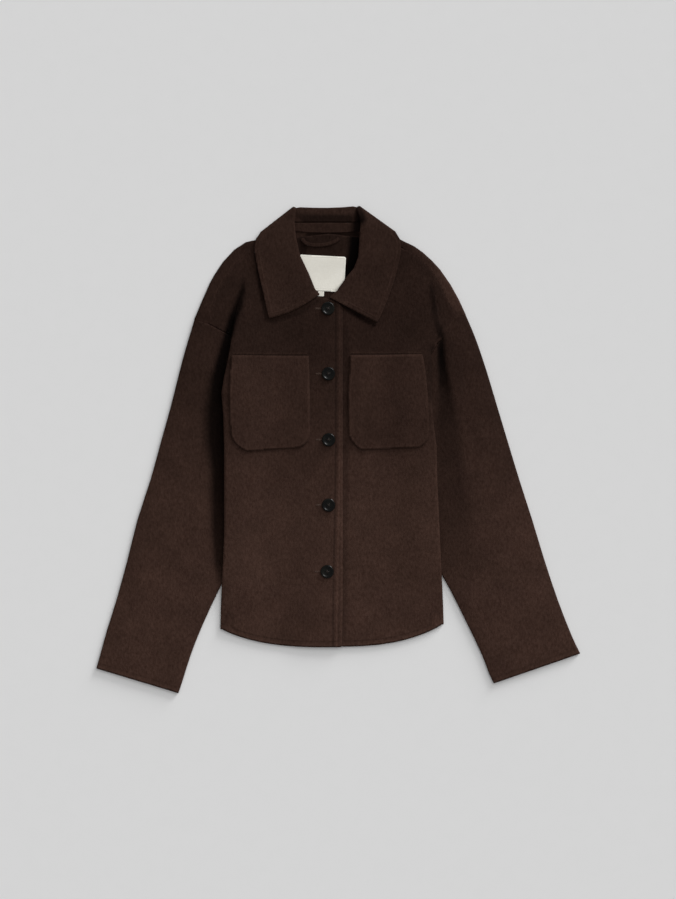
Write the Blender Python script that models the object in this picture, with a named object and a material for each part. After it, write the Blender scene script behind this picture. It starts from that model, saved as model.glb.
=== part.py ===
"""A wool overshirt laid flat: back, two fronts, two sleeves, a shirt collar on a stand,
two patch pockets, five buttons, a hanger loop, a blank neck label and a size tab.

Sizes are millimetres. X runs across the garment, Y from hem to collar, Z up from the table.
Every cloth piece is a middle surface, given as rows of points, with a wall grown round it."""

import math

import bmesh
import bpy
from mathutils import Vector
from mathutils.bvhtree import BVHTree

MM = 0.001
WALL = 2.2
HALF = WALL / 2
SEAM = 0.5
STRIP_LIFT = 6.3
COLLAR_LIFT = 2.8
CENTRE_X = -12.0

COLOURS = {
    "wool": ((0.034, 0.018, 0.013, 1.0), 0.95),
    "button": ((0.030, 0.032, 0.024, 1.0), 0.25),
    "label": ((0.66, 0.64, 0.60, 1.0), 0.8),
    "tab": ((0.66, 0.63, 0.58, 1.0), 0.8),
}


def smooth(t):
    t = min(max(t, 0.0), 1.0)
    return t * t * (3.0 - 2.0 * t)


def lerp(a, b, t):
    return a + (b - a) * t


def mix(p, q, t):
    return tuple(lerp(a, b, t) for a, b in zip(p, q))


def toward(p, q, step):
    """The plan point that lies a step from p on the way to q."""
    length = math.hypot(q[0] - p[0], q[1] - p[1])
    return mix(p[:2], q[:2], step / length)


def outside(x, y, outline, scale_x, scale_y):
    """How far a plan point is outside an outline, in units of the two scales; 0 inside."""
    within = False
    best = 1e9
    for (x0, y0), (x1, y1) in zip(outline, outline[1:] + outline[:1]):
        if (y0 > y) != (y1 > y) and x < lerp(x0, x1, (y - y0) / (y1 - y0)):
            within = not within
        ex, ey = (x1 - x0) / scale_x, (y1 - y0) / scale_y
        px, py = (x - x0) / scale_x, (y - y0) / scale_y
        t = min(max((px * ex + py * ey) / (ex * ex + ey * ey), 0.0), 1.0)
        best = min(best, math.hypot(px - t * ex, py - t * ey))
    return 0.0 if within else best


# The outline of the fall where it lies on the table behind the neck
BEHIND_NECK = [
    (-61, 364), (31, 364), (91, 326), (98, 313), (42, 293), (-12, 289), (-72, 293), (-125, 310),
    (-118, 326),
]

# One row for each level of the left side, from hem to neck. End is the outer end of the
# front, on the side, armhole or shoulder seam; edge is the side fold, or the chest crease
# above it; low and high are the heights below and above that fold; inner is the front edge,
# then the neck seam; fold is the shoulder line of the back, none where the sleeve is; tuck is
# the share of a sleeve's thickness that the back is lifted by.
# end x, end y, edge x, edge y, low, high, inner x, inner y, bow, fold x, fold y, tuck
LEFT = [
    (-162, -271.3, -174, -271.3, 1.1, 4.8, 9, -298, -11.5, None, None, 0),
    (-161, -234, -173, -234, 2.0, 6.4, 9, -262, -8, None, None, 0.15),
    (-159.5, -203, -171.5, -203, 7.0, 11.4, 9, -218, -4, None, None, 0.95),
    (-157.5, -172, -169.8, -172, 7.4, 12.2, 9, -180, -2, None, None, 1),
    (-156, -130, -168, -130, 7.4, 12.4, 9, -134, 0, None, None, 1),
    (-156, -88, -168, -88, 7.4, 12.4, 9, -90, 0, None, None, 1),
    (-156, -47, -168, -47, 7.4, 12.4, 9, -47, 0, None, None, 1),
    (-156, 4, -168, 4, 7.4, 12.4, 9, 4, 0, None, None, 1),
    (-157, 53, -169.5, 53, 7.4, 12.4, 9, 50, 0, None, None, 1),
    (-160, 83, -172, 83, 7.4, 12.6, 9, 79, 0, None, None, 1),
    (-156, 108, -168, 108, 7.4, 12.6, 9, 104, 0, None, None, 1),
    (-152, 127, -163.5, 127, 7.4, 12.6, 9, 124, 0, None, None, 1),
    (-149, 145, -160, 145, 7.6, 12.4, 9, 138, 0, None, None, 1),
    (-151, 157, -158, 157, 7.9, 12.0, 9, 150, 0, None, None, 1),
    (-156.5, 163.5, -157, 163.5, 7.8, 11.4, 9, 161, 0, None, None, 0.85),
    (-157.5, 170.4, -156.5, 172, 5.6, 10.6, 9, 173, 0, None, None, 0.7),
    (-175.5, 178.6, -155, 182, 5.5, 10.0, 9, 184, 0, None, None, 0.6),
    (-192.6, 187.8, -153.5, 192, 5.5, 9.4, 9, 196, 0, -214.5, 194.6, 0.5),
    (-187.5, 213, -149, 213, 5.5, 8.0, 9, 211, 0, -202.5, 223, 0.25),
    (-177.5, 239, -142.5, 233, 5.5, 6.6, 3, 217.5, 0, -191.5, 248, 0.05),
    (-170.5, 252, -139, 247.5, 5.5, 5.8, -12, 224.5, 0, -184.5, 261, 0),
    (-157, 272.5, -131, 267, 5.5, 5.5, -28.5, 227, 0, -171.5, 280.5, 0),
    (-139.5, 287, -119, 282, 5.6, 5.6, -42, 233, 0, -154.8, 298.6, 0),
    (-126, 292, -110, 290, 6.4, 6.4, -57, 254.5, 0, -137.6, 310.2, 0),
    (-112, 299, -102, 297, 7.3, 7.3, -75, 284.5, 0, -119.8, 314, 0),
    (-94, 308.5, -92.5, 308.5, 7.3, 7.3, -86, 311, 0, -103, 326.2, 0),
    (-88.5, 314, -88.5, 314, 7.3, 7.3, -88.5, 314, 0, -91.8, 335.2, 0),
]

# The right side in the same columns; inner here is the underlap, then the neck seam
RIGHT = [
    (147, -264, 159, -264, 1.1, 4.8, -34.5, -297, -14.8, None, None, 0),
    (146, -238, 158.2, -238, 1.6, 6.0, -34.5, -262, -8, None, None, 0.05),
    (144.5, -208, 156.8, -208, 3.4, 8.0, -34.5, -218, -4, None, None, 0.35),
    (143, -184, 155.5, -184, 7.3, 11.8, -34.5, -180, -2, None, None, 1),
    (141, -134, 153, -134, 7.4, 12.4, -34.5, -134, 0, None, None, 1),
    (139, -88, 151, -88, 7.4, 12.4, -34.5, -90, 0, None, None, 1),
    (137, -47, 149, -47, 7.4, 12.4, -34.5, -47, 0, None, None, 1),
    (136, 4, 148, 4, 7.4, 12.4, -34.5, 4, 0, None, None, 1),
    (130.5, 46, 142.5, 46, 7.4, 12.2, -34.5, 50, 0, None, None, 1),
    (129, 73, 141, 73, 7.4, 12.0, -34.5, 79, 0, None, None, 1),
    (129, 100, 140.5, 100, 7.4, 11.8, -34.5, 104, 0, None, None, 1),
    (130, 118, 140, 118, 7.6, 11.4, -34.5, 124, 0, None, None, 1),
    (134, 131, 140, 131, 7.8, 11.2, -34.5, 138, 0, None, None, 1),
    (139.6, 138, 140.3, 138, 7.6, 10.8, -34.5, 150, 0, None, None, 0.9),
    (141, 142, 139.5, 144, 6.2, 10.2, -34.5, 161, 0, None, None, 0.8),
    (150.5, 158.4, 147, 160, 5.7, 9.4, -34.5, 173, 0, None, None, 0.6),
    (161, 176.4, 153, 178, 5.5, 9.0, -34.5, 184, 0, None, None, 0.5),
    (175.6, 198.4, 152, 198, 5.5, 8.4, -34.5, 196, 0, 193.7, 200.9, 0.4),
    (167, 217, 148.5, 218, 5.5, 7.4, -34.5, 211, 0, 183.4, 223.6, 0.2),
    (156, 241, 143, 243, 5.5, 6.4, -22, 219.5, 0, 171, 246, 0),
    (147, 257, 135, 259, 5.5, 5.5, -9, 222, 0, 154.6, 269.6, 0),
    (138, 271, 124, 270, 5.5, 5.5, 8, 231, 0, 142.4, 282.6, 0),
    (124.5, 283, 111, 279, 5.6, 5.6, 27, 250, 0, 129.2, 294.7, 0),
    (111.5, 293, 99, 288, 6.4, 6.4, 40, 265.5, 0, 116.4, 303.8, 0),
    (93, 303, 83, 299, 7.1, 7.1, 50, 286, 0, 100, 311.9, 0),
    (66, 311, 63.5, 311, 7.3, 7.3, 57, 309, 0, 84, 319.6, 0),
    (58.5, 314, 58.5, 314, 7.3, 7.3, 58.5, 314, 0, 61, 337, 0),
]

# Height of the middle of the back, hem to neck, one for each row of the side tables
BACK_Y = [
    -296, -262, -218, -180, -134, -90, -47, 4, 50, 79, 104, 124, 138, 150, 161, 173, 184, 196,
    210, 226, 242, 256, 270, 284, 298, 311, 322.6,
]

# The armhole seam seen from above, from the silhouette to the body's side
ARMHOLE_LEFT = [(-214.5, 194.6), (-192.6, 187.8), (-175.5, 178.6), (-158.5, 169.8)]
ARMHOLE_RIGHT = [(193.7, 200.9), (175.6, 198.4), (161, 176.4), (150.5, 158.4), (142, 142)]
# The same seams on the underside
ARMHOLE_LEFT_UNDER = [(-214.5, 194.6), (-175.5, 178.6), (-158.5, 169.8)]
ARMHOLE_RIGHT_UNDER = [(193.7, 200.9), (161, 176.4), (150.5, 158.4), (142, 142)]

# One row for each section of a sleeve, from armhole to cuff. Outer is the silhouette, knee
# the place where the body's side lies over it, inner the far fold; bow bends the tucked part;
# crown, at_knee and at_inner are the heights of the upper wall.
# outer x, y, knee x, y, inner x, y, bow, at_outer, crown, at_knee, at_inner
SLEEVE_RIGHT = [
    (-214.5, 193.6, -161, 168, -137, 134, -7, 5.5, 5.5, 5.1, 4.5),
    (-219, 178, -161, 154, -134, 126, -3, 5.5, 5.9, 4.6, 4.5),
    (-227, 152, -163, 128, -137, 105, 0, 5.3, 6.6, 4.4, 4.5),
    (-237, 115, -169, 90, -144, 72, 0, 5.1, 6.9, 4.4, 4.5),
    (-250, 63, -171, 38, -144, 26, 0, 5.1, 6.9, 4.4, 4.5),
    (-264, 13, -169, -17, -143, -28, 0, 5.1, 6.9, 4.5, 4.5),
    (-280.5, -47, -169, -82, -143, -91, 0, 5.1, 6.9, 4.6, 4.5),
    (-300, -107, -169, -148, -149, -154, 0, 5.1, 6.9, 4.6, 4.5),
    (-315, -167, -187, -208, -177, -212, 0, 5.1, 6.9, 5.2, 4.6),
    (-331.5, -227, -212, -263, -202, -266, 0, 5.1, 6.7, 5.6, 5.1),
    (-345.5, -272, -229, -306, -219, -309, 0, 5.1, 6.4, 5.6, 5.1),
    (-356.6, -311.6, -241.6, -345.8, -231.6, -348.8, 0, 5.1, 5.8, 5.6, 5.1),
    (-361.8, -330, -248, -364.2, -238, -367.6, 0, 5.1, 5.5, 5.3, 5.1),
]
SLEEVE_LEFT = [
    (193.7, 199.9, 143.2, 140.2, 115, 112, -5, 5.5, 5.5, 5.0, 4.5),
    (203.4, 178, 143.5, 128, 115, 101, -2, 5.5, 6.2, 4.5, 4.5),
    (212.2, 155, 144, 112, 116, 84, 0, 5.3, 6.6, 4.4, 4.5),
    (224.6, 118, 144, 80, 117, 60, 0, 5.1, 6.9, 4.4, 4.5),
    (239.3, 69, 146, 34, 119, 20, 0, 5.1, 6.9, 4.4, 4.5),
    (256.1, 13, 150, -23, 123, -34, 0, 5.1, 6.9, 4.5, 4.5),
    (274.3, -47, 152, -86, 126, -95, 0, 5.1, 6.9, 4.6, 4.5),
    (293.6, -107, 155, -151, 140, -156, 0, 5.1, 6.9, 4.6, 4.5),
    (311.8, -167, 179, -208, 169, -211, 0, 5.1, 6.9, 5.2, 4.6),
    (331.8, -227, 206, -262, 196, -265, 0, 5.1, 6.7, 5.6, 5.1),
    (349.2, -272, 227, -306, 217, -309, 0, 5.1, 6.4, 5.6, 5.1),
    (358, -292.2, 237.5, -333.8, 227.5, -336.6, 0, 5.1, 5.8, 5.6, 5.1),
    (365.6, -307.6, 244.8, -349.4, 235, -352.6, 0, 5.1, 5.5, 5.3, 5.1),
]

# One row for each station of a half collar, from the front end round to the side fold.
# neck seam x, y, stand seam x, y, roll x, y, outer edge x, y, bow, height of the stand
COLLAR_LEFT = [
    (-28.5, 227, -27.8, 228.8, -26.5, 232, -102, 195, -5, 7.3),
    (-42, 233, -38.4, 235.6, -33, 239.5, -105, 207, -2, 6.9),
    (-57, 254.5, -50.8, 257.6, -42, 262, -111, 235, 0, 6.4),
    (-75, 284.5, -67, 286.8, -55.5, 290, -118.5, 267, 0, 7.4),
    (-86, 311, -76, 313.5, -61.5, 317, -122.5, 290, 0, 7.3),
    (-89.5, 322.5, -79, 329, -64, 340, -124, 301, 0, 7.3),
    (-90.8, 329, -79.2, 337, -62.8, 348, -121.6, 314.2, 0, 7.3),
]
COLLAR_RIGHT = [
    (-9, 222, -9.6, 224.5, -11, 228, 60, 189, 0, 4.6),
    (8, 231, 4.2, 233.5, -0.5, 236.5, 66, 200, 0, 5.0),
    (27, 250, 21.5, 253.5, 14.5, 258, 76, 224, 0, 5.6),
    (40, 265.5, 33.5, 267.2, 24.6, 269.5, 84, 246, 0, 6.0),
    (50, 286, 42, 286.5, 31.5, 287, 90, 267, 0, 6.6),
    (57, 309, 46.8, 309.5, 33, 309.5, 95, 289, 0, 7.2),
    (59.6, 322.5, 49.5, 328, 35, 338, 96, 300, 0, 7.3),
    (60.3, 329, 48.6, 336.5, 33.6, 346.5, 95, 312.6, 0, 7.3),
]
# The same points where the collar turns under: on the fold's own line, roll to outer edge
TURN_LEFT = ((-61.8, 358.2), (-114.6, 318.4), (-0.602, 0.799))
TURN_RIGHT = ((30, 359.2), (87.6, 319), (0.572, 0.820))
TURN_HEIGHT = 5.6
# Behind the neck: neck seam x, y, stand seam x, y, roll x, y, outer edge x, y
COLLAR_BACK = [
    (-70, 325.6, -62, 339.4, -55, 362.6, -98, 299),
    (-42, 323.6, -40, 339.6, -38, 362, -60, 296),
    (-15, 322.9, -15, 339.8, -15, 361.7, -15, 293),
    (12, 323.6, 11, 339.6, 8, 362.6, 30, 296),
    (38, 325.8, 31, 340, 24, 364, 68, 299),
]

# left x, left y, right x, right y for each level of a pocket, top first
POCKET_RIGHT = [
    (-158.2, 140, -42.5, 139), (-160, 115, -41.5, 114), (-161.5, 79, -40.5, 79),
    (-160.5, 49, -40, 49), (-159, 21, -40, 19), (-155, 11, -43.5, 11), (-145, 1, -52, 3),
    (-136, -4, -60, 1),
]
POCKET_LEFT = [
    (19.5, 140, 128.5, 141.5), (18.5, 115, 132.5, 115), (16.5, 79, 136, 79),
    (17, 49, 137.6, 49), (18, 19, 138.4, 22), (21.5, 12, 136, 13), (29, 3, 129, 5),
    (37, -2, 122, 1.5),
]

BUTTON_CENTRES = [(-13.5, 210), (-12.8, 112.2), (-12.5, 13.2), (-12.6, -84.8), (-14.7, -184.5)]
# radius, height above the button's underside
BUTTON_PROFILE = [
    (0.0, 0.0), (7.2, 0.0), (9.4, 0.8), (10.1, 2.0), (9.7, 3.1), (8.6, 3.6), (7.2, 3.2),
    (6.0, 2.7), (0.0, 2.6),
]
LOOP_LINE = [
    (-52, 316), (-49.5, 310.5), (-43, 306.8), (-31, 305.2), (-16, 306.4), (-3, 310.8), (3, 316),
]
LOOP_WIDTH = 6.0
LABEL_CORNER = (-55.0, 291.1)
LABEL_SIZE = (68.5, 53.0)
LABEL_TURN = -2.9
TAB_CORNER = (-28.6, 236.3)
TAB_SIZE = (9.2, 7.4)


def neck_lift(x, y):
    return COLLAR_LIFT * (1.0 - smooth(outside(x, y, BEHIND_NECK, 28.0, 28.0)))


def back_height(x, y, tuck=0.0, depth=99.0):
    """Middle surface of the back: on the table, or lifted by what is tucked under it."""
    strip = STRIP_LIFT * tuck * (1.0 - smooth((depth - 30.0) / 42.0))
    if depth < 8.0:
        strip *= smooth((depth - 3.4) / 4.6)
    return HALF + max(strip, neck_lift(x, y))


def front_height(x, y, over, tuck, depth):
    lap = 2.9 * smooth((x + 78.0) / 36.0) if over else 0.0
    depth = 9.0 if depth < 9.0 else depth
    return back_height(x, y, tuck, depth) + 3.2 + lap


def front_rows(table, side, over):
    """Rows of a front: outer end, round the side fold or crease, then across to the inner edge."""
    rows = []
    for end_x, end_y, edge_x, edge_y, low, high, inner_x, inner_y, bow, _, _, tuck in table[:-1]:
        step = high - low
        turn = 1.6 if step > 3.0 else 0.6 + step * 0.33
        edge_in = edge_x - side * turn
        under = side * (edge_x - end_x) > 3.0 and end_y < 160
        foot = edge_in if under else edge_x + side * 0.9 * turn
        wall = edge_x + (side * 0.25 if under else 0.0)
        row = [
            (end_x, end_y, low),
            (lerp(end_x, foot, 0.5), lerp(end_y, edge_y, 0.5), low),
            (foot, edge_y, low),
            (wall, edge_y, lerp(low, high, 0.28)),
            (wall, edge_y, lerp(low, high, 0.72)),
            (edge_in, edge_y, high),
        ]
        base = front_height(edge_in, edge_y, over, tuck, 3.4)
        span = abs(inner_x - edge_in)
        depths = [d for d in (8.0, 18.0, 28.0, 42.0, 56.0, 72.0)]
        if span < 110.0:
            depths = [span * k / 11.0 for k in range(1, 7)]
        depths += [lerp(depths[-1], span, k / 5.0) for k in range(1, 6)]
        for depth in depths:
            u = depth / span
            x = lerp(edge_in, inner_x, u)
            y = lerp(edge_y, inner_y, u) + bow * math.sin(math.pi * u ** 0.78)
            swell = (high - base) * (1.0 - smooth(depth / 44.0))
            row.append((x, y, front_height(x, y, over, tuck, depth + turn) + swell))
        rows.append(row)
    return rows


def back_side(row, side):
    """The side columns of one back row: over the shoulder, then flat to the crease."""
    end_x, end_y, edge_x, edge_y, low, _, _, _, _, fold_x, fold_y, tuck = row
    if fold_x is None:
        start_x = end_x - side * SEAM
        start_y = end_y + (SEAM if end_y > 141 else 0.0)
        wrap = [None] * 6
    else:
        out = Vector((fold_x - end_x, fold_y - end_y)).normalized()
        seam = (end_x + out.x * SEAM, end_y + out.y * SEAM)
        extreme = (fold_x - out.x * HALF, fold_y - out.y * HALF)
        bottom = back_height(extreme[0] - out.x * 4, extreme[1] - out.y * 4)
        radius = (low - bottom) / 2
        centre = (extreme[0] - out.x * radius, extreme[1] - out.y * radius)
        wrap = [(*seam, low), (*mix(seam, centre, 0.5), low)]
        for angle in (0.0, 50.0, 90.0, 130.0):
            a = math.radians(angle)
            place = (centre[0] + out.x * radius * math.sin(a), centre[1] + out.y * radius * math.sin(a))
            wrap.append((*place, (low + bottom) / 2 + radius * math.cos(a)))
        start_x, start_y = centre
    start = side * (edge_x - start_x)
    depths = [start, (start + 3.4) / 2, 3.4, 5.6, 8.0, 16.0]
    if start > 3.4:
        depths = [start + k * (26.0 - start) / 6 for k in range(6)]
    flat = []
    for depth in depths + [28.0, 42.0, 56.0, 72.0]:
        share = smooth((depth - start) / (8.0 - start)) if start < 3.4 else smooth((depth - start) / 10.0)
        flat.append((edge_x - side * depth, lerp(start_y, edge_y, share), tuck, depth))
    return wrap, flat


def back_rows():
    rows = []
    for left, right, y_mid in zip(LEFT, RIGHT, BACK_Y):
        halves = []
        for table_row, side in ((left, -1), (right, 1)):
            wrap, flat = back_side(table_row, side)
            edge_x, edge_y, bow, tuck = table_row[2], table_row[3], table_row[8], table_row[11]
            span = abs(CENTRE_X - edge_x)
            depths = [lerp(72.0, span, k / 3.0) for k in (1, 2)]
            flat += [(edge_x - side * depth, edge_y, tuck, depth) for depth in depths]
            half = []
            for x, y, share, depth in flat:
                u = min(max(depth / span, 0.0), 1.0)
                y += (y_mid - edge_y) * u + bow * math.sin(math.pi * (u * 0.9) ** 0.78)
                half.append((x, y, back_height(x, y, share, depth)))
            halves.append(wrap + half)
        middle_y = y_mid + 0.28 * left[8]
        middle = (CENTRE_X, middle_y, back_height(CENTRE_X, middle_y))
        rows.append(halves[0] + [middle] + halves[1][::-1])
    rows[0] = [p and (p[0], p[1] + 2.5, p[2]) for p in rows[0]]
    return rows


def smooth_rows(rows, factor):
    """Rows put in between the given ones, on a curve through them."""
    out = []
    last = len(rows) - 1
    for k in range(last):
        a, b, c, d = rows[max(k - 1, 0)], rows[k], rows[k + 1], rows[min(k + 2, last)]
        for j in range(factor):
            t = j / factor
            weights = (
                0.5 * (-t + 2 * t * t - t ** 3), 0.5 * (2 - 5 * t * t + 3 * t ** 3),
                0.5 * (t + 4 * t * t - 3 * t ** 3), 0.5 * (-t * t + t ** 3),
            )
            out.append(tuple(sum(w * r[i] for w, r in zip(weights, (a, b, c, d))) for i in range(len(a))))
    out.append(tuple(float(v) for v in rows[-1]))
    return out


def at_share(points, share):
    """The point at a share of the length of a line of plan points."""
    lengths = [math.dist(p, q) for p, q in zip(points, points[1:])]
    left = share * sum(lengths)
    for p, q, length in zip(points, points[1:], lengths):
        if left <= length:
            return mix(p, q, left / length)
        left -= length
    return points[-1]


def sleeve_rows(table, seam, seam_under, side):
    """Closed sections of a flattened sleeve: outer fold, upper wall, inner fold, lower wall."""
    rows = []
    away = (0.5 * side, -0.75)
    sections = smooth_rows(table, 2)
    for n, (ox, oy, kx, ky, ix, iy, bow, z_out, z_crown, z_knee, z_in) in enumerate(sections):
        out = Vector((ox - kx, oy - ky)).normalized()
        inn = Vector((ix - kx, iy - ky)).normalized()
        outer_r, inner_r = (z_out - HALF) / 2, (z_in - HALF) / 2
        start = (ox - out.x * (HALF + outer_r), oy - out.y * (HALF + outer_r))
        stop = (ix - inn.x * (HALF + inner_r), iy - inn.y * (HALF + inner_r))
        fade = max(1.0 - n / 4.0, 0.0) ** 1.5

        def across(u, line):
            x, y = mix(start, (kx, ky), u)
            on_seam = at_share(line, lerp(0.07, 1.0, u))
            straight = mix(sections[0][0:2], sections[0][2:4], lerp(0.07, 1.0, u))
            shift = (on_seam[0] + away[0] - straight[0], on_seam[1] + away[1] - straight[1])
            return (x + shift[0] * fade * smooth(u * 6), y + shift[1] * fade * smooth(u * 6))

        row = []
        for angle in (180, 125, 60, 0):
            a = math.radians(angle)
            row.append((start[0] + out.x * outer_r * math.sin(a), start[1] + out.y * outer_r * math.sin(a),
                        HALF + outer_r + outer_r * math.cos(a)))
        for k in range(1, 7):
            u = k / 6.0
            rise = math.sin(math.pi * u / 0.9) if u < 0.9 else 0.0
            z = lerp(z_out, z_knee, smooth((u - 0.35) / 0.65)) + (z_crown - z_out) * rise
            row.append((*across(u, seam), z))
        x, y = mix((kx, ky), stop, 0.5)
        row.append((x, y + bow, lerp(z_knee, z_in, 0.5)))
        for angle in (0, 60, 120, 180):
            a = math.radians(angle)
            row.append((stop[0] + inn.x * inner_r * math.sin(a), stop[1] + inn.y * inner_r * math.sin(a),
                        HALF + inner_r + inner_r * math.cos(a)))
        row.append((x, y + bow, HALF))
        for u in (1.0, 0.67, 0.33):
            row.append((*across(u, seam_under), HALF))
        rows.append(row)
    return rows


def collar_stations():
    """Every station round the neck: four plan points, bow, height of the stand, turn angle."""
    stations = []
    for n1, n2, s1, s2, u1, u2, l1, l2, bow, z in COLLAR_LEFT:
        stations.append(((n1, n2), (s1, s2), (u1, u2), (l1, l2), bow, z, 0.0, None))

    def turned(turn, angles):
        roll, edge, normal = turn
        length = math.hypot(edge[0] - roll[0], edge[1] - roll[1])
        for angle in angles:
            shift = angle / 180.0
            top = (roll[0] + shift * 1.0 * (1 if normal[0] < 0 else -1), roll[1] + shift * 3.0)
            bulge = math.sin(math.radians(angle))
            points = [mix(top, edge, d / length) for d in (37.0, 21.0, 0.0, length - 5.0 * bulge)]
            if angle < 90:
                tip_x, tip_y = points[3]
                flare = 3.2 * (1.0 - bulge)
                points[3] = (tip_x + normal[0] * flare, tip_y + normal[1] * flare)
            stations.append((*points, 0.0, None, math.radians(angle), normal))

    turned(TURN_LEFT, (0, 35, 65, 90, 115, 145, 180))
    for row in COLLAR_BACK:
        points = [(row[i], row[i + 1]) for i in (0, 2, 4, 6)]
        stations.append((*points, 0.0, 3.9, math.pi, None))
    turned(TURN_RIGHT, (180, 145, 115, 90, 65, 35, 0))
    for n1, n2, s1, s2, u1, u2, l1, l2, bow, z in COLLAR_RIGHT[::-1]:
        stations.append(((n1, n2), (s1, s2), (u1, u2), (l1, l2), bow, z, 0.0, None))
    return stations


def placed(point, station, radius):
    """A plan point of a station, on the stand's layer or moved out to the fall's."""
    _, _, _, _, _, z, angle, normal = station
    if normal is None:
        step = radius - 1.7
        return (point[0], point[1], z + step * math.cos(angle))
    return (
        point[0] + normal[0] * radius * math.sin(angle),
        point[1] + normal[1] * radius * math.sin(angle),
        TURN_HEIGHT + radius * math.cos(angle),
    )


def stand_rows(stations):
    rows = []
    for station in stations:
        neck, seam, roll = station[0], station[1], station[2]
        start = toward(neck, roll, 1.1)
        stop = toward(seam, neck, 0.7)
        rows.append([placed(mix(start, stop, k / 3.0), station, 1.7) for k in range(4)])
    return rows


def fall_rows(stations, drape):
    rows = []
    for station in stations:
        _, seam, roll, edge, bow, z, angle, normal = station
        start = toward(seam, roll, 0.7)
        bend = toward(roll, seam, HALF + 1.4)
        tip = toward(roll, seam, HALF)
        row = [placed(mix(start, bend, k / 2.0), station, 1.7) for k in range(3)]
        row.append(placed(toward(tip, bend, 0.4), station, 2.1))
        row.append(placed(tip, station, 3.1))
        row.append(placed(toward(tip, bend, 0.4), station, 4.1))
        for k in range(8):
            u = k / 7.0
            x, y = mix(bend, edge, u)
            y += bow * math.sin(math.pi * u)
            point = placed((x, y), station, 4.5)
            if normal is None and angle == 0.0:
                rest = drape(x, y)
                reach = math.dist(roll, seam) + 8.0
                near = smooth((reach - math.dist((x, y), bend)) / 7.0)
                point = (x, y, max(rest, lerp(rest, point[2], near)))
            row.append(point)
        rows.append(row)
    return rows


def material(name):
    found = bpy.data.materials.get(name)
    if found:
        return found
    colour, rough = COLOURS[name]
    made = bpy.data.materials.new(name)
    made.use_nodes = True
    shader = made.node_tree.nodes["Principled BSDF"]
    shader.inputs["Base Color"].default_value = colour
    shader.inputs["Roughness"].default_value = rough
    shader.inputs["Metallic"].default_value = 0.0
    return made


def add_object(name, bm, kind):
    bmesh.ops.recalc_face_normals(bm, faces=bm.faces)
    mesh = bpy.data.meshes.new(name)
    bm.to_mesh(mesh)
    bm.free()
    mesh.materials.append(material(kind))
    made = bpy.data.objects.new(name, mesh)
    bpy.context.scene.collection.objects.link(made)
    return made


def wall_from_rows(name, rows, kind="wool", thick=WALL, closed=False):
    """The middle surface as faces, then both sides of the wall and the rim between them."""
    bm = bmesh.new()
    verts = [[bm.verts.new(Vector(p) * MM) if p else None for p in row] for row in rows]
    for near, far in zip(verts, verts[1:]):
        count = len(near)
        for k in range(count if closed else count - 1):
            corners = [near[k], near[(k + 1) % count], far[(k + 1) % count], far[k]]
            if None not in corners:
                bm.faces.new(corners)
    loose = [v for v in bm.verts if not v.link_faces]
    bmesh.ops.delete(bm, geom=loose, context="VERTS")
    bmesh.ops.recalc_face_normals(bm, faces=bm.faces)
    bm.normal_update()
    bm.verts.index_update()
    half = thick / 2 * MM
    places = [(v.co.copy(), v.normal.copy()) for v in bm.verts]
    faces = [[v.index for v in f.verts] for f in bm.faces]
    rim = []
    for edge in bm.edges:
        if len(edge.link_faces) == 1:
            loop = edge.link_loops[0]
            rim.append((loop.vert.index, loop.link_loop_next.vert.index))
    bm.free()
    shell = bmesh.new()
    upper = [shell.verts.new(co + normal * half) for co, normal in places]
    lower = [shell.verts.new(co - normal * half) for co, normal in places]
    for face in faces:
        shell.faces.new([upper[i] for i in face])
        shell.faces.new([lower[i] for i in reversed(face)])
    for a, b in rim:
        shell.faces.new([upper[b], upper[a], lower[a], lower[b]])
    bmesh.ops.triangulate(shell, faces=shell.faces[:])
    return add_object(name, shell, kind)


def surface_over(names):
    """A function that gives the height of the cloth seen from above at a plan point."""
    trees = []
    for name in names:
        mesh = bpy.data.objects[name].data
        trees.append(BVHTree.FromPolygons([v.co for v in mesh.vertices], [p.vertices for p in mesh.polygons]))

    def height(x, y, spread=0.0):
        best = 0.0
        for dx in ((0.0,) if spread == 0 else (-spread, 0.0, spread)):
            for dy in ((0.0,) if spread == 0 else (-spread, 0.0, spread)):
                start = Vector(((x + dx) * MM, (y + dy) * MM, 0.2))
                for tree in trees:
                    hit = tree.ray_cast(start, Vector((0, 0, -1)))[0]
                    if hit:
                        best = max(best, hit.z / MM)
        return best

    return height


def pocket_rows(table, height):
    rows = []
    for (x0, y0, x1, y1) in smooth_rows(table[:5], 2) + [tuple(r) for r in table[5:]]:
        row = []
        for k in range(11):
            x, y = mix((x0, y0), (x1, y1), k / 10.0)
            row.append((x, y, height(x, y, 2.5) + 0.5 + HALF * 0.85))
        rows.append(row)
    return rows


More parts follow.
